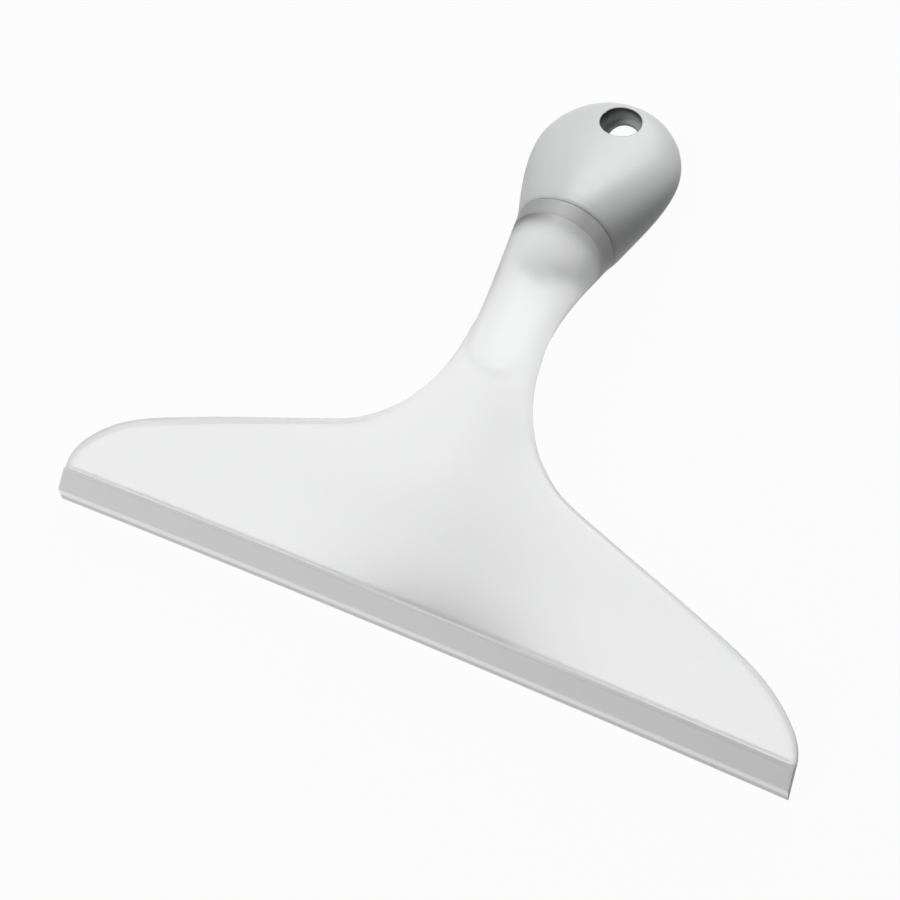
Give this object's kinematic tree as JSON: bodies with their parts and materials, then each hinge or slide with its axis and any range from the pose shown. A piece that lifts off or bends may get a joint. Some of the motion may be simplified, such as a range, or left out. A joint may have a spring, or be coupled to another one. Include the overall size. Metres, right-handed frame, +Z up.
{
  "type": "window cleaning squeegee",
  "caption": "Window cleaning squeegee with a frosted plastic head, a grey rubber wiping strip and a bulb grip with a stepped hanging hole.",
  "frame": {"origin": "middle of the underside's outline box, on the surface that the squeegee lies on with its front up", "axes": "+X along the blade, +Y from the blade to the grip's tip, +Z up from the surface towards the front"},
  "size_m": [0.24, 0.1778, 0.0377],
  "materials": {
    "frosted_plastic": "frosted, lets light through",
    "rubber": "matte",
    "satin_grey": "satin",
    "plug_plastic": "matte"
  },
  "bodies": {
    "squeegee": {"head_moulding": "frosted_plastic", "rubber_strip": "rubber", "grip_bulb": "satin_grey", "grip_core": "plug_plastic"},
    "lip": {"wiping_lip": "rubber"}
  },
  "joints": [
    {"name": "lip_flex", "type": "hinge", "parent": "squeegee", "child": "lip", "pos_m": [0, -0.08618, 0.00347], "axis": [1, 0, 0], "range_deg": [-20, 20], "stiffness_Nm_per_rad": 0.1}
  ]
}
